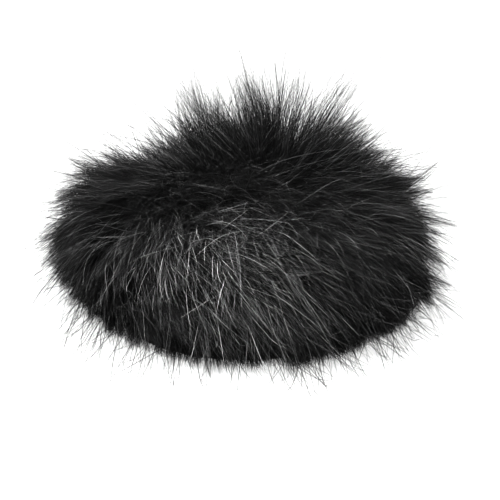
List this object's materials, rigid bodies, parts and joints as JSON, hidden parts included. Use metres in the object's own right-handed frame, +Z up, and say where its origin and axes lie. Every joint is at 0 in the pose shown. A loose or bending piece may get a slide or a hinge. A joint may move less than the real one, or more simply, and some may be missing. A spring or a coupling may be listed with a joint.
{
  "type": "furry windscreen",
  "caption": "Black long-pile furry windscreen jacket over an oval foam insert, for the microphones of a handheld recorder.",
  "frame": {"origin": "middle of the mouth, on the plane that the windscreen stands on", "axes": "+Z up through the crown, X along the wider side of the oval, -Y the front"},
  "size_m": [0.125, 0.113, 0.064],
  "materials": {
    "pile": "satin",
    "backing": "matte",
    "lining": "matte",
    "tape": "matte",
    "elastic": "matte",
    "thread": "matte",
    "foam": "matte"
  },
  "bodies": {
    "foam_insert": {"foam_sleeve": "foam", "foam_disc": "foam"},
    "fur_jacket": {"front_fur_pile": "pile", "front_backing": "backing", "front_lining": "lining", "rear_fur_pile": "pile", "rear_backing": "backing", "rear_lining": "lining", "left_fur_pile": "pile", "left_backing": "backing", "left_lining": "lining", "right_fur_pile": "pile", "right_backing": "backing", "right_lining": "lining", "rear_right_seam_tape": "tape", "rear_left_seam_tape": "tape", "front_left_seam_tape": "tape", "front_right_seam_tape": "tape", "crown_tack": "thread", "mouth_binding": "tape", "mouth_elastic": "elastic", "hem_stitching": "thread"}
  },
  "joints": [
    {"name": "jacket_lift", "type": "slide", "parent": "foam_insert", "child": "fur_jacket", "axis": [0, 0, 1], "range_m": [0, 0.045]}
  ]
}
